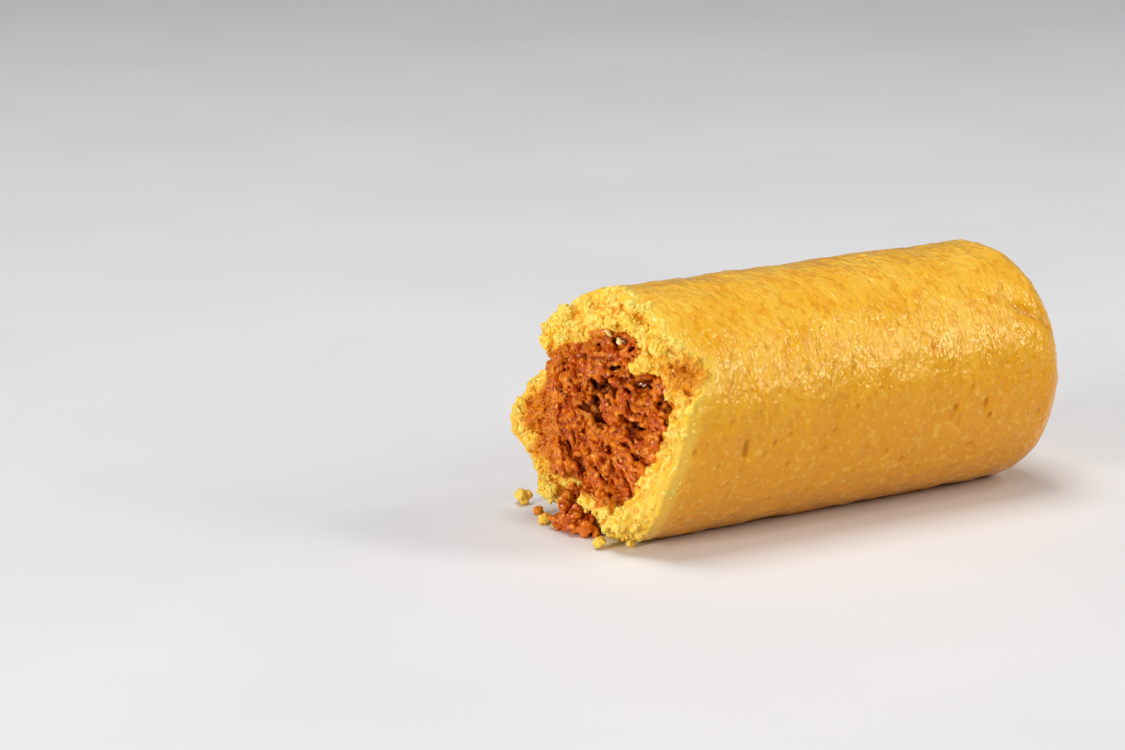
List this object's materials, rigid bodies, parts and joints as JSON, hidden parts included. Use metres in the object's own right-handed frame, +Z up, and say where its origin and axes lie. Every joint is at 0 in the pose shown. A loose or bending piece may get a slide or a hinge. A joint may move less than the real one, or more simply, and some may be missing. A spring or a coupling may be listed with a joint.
{
  "type": "tamale",
  "caption": "Broken half of a rolled corn tamale lying on its side: thick golden masa wall, one rounded closed end, and a torn end showing its spiced shredded meat filling.",
  "frame": {"origin": "on the floor under the middle of the half's length and width", "axes": "+Y along the roll to its rounded closed end, the torn end at -Y, +Z up, +X the side with the short notch in the torn edge"},
  "size_m": [0.0362, 0.0788, 0.0351],
  "materials": {
    "masa": null,
    "filling": null
  },
  "bodies": {
    "root": {"masa": "masa", "filling": "filling"}
  },
  "joints": []
}
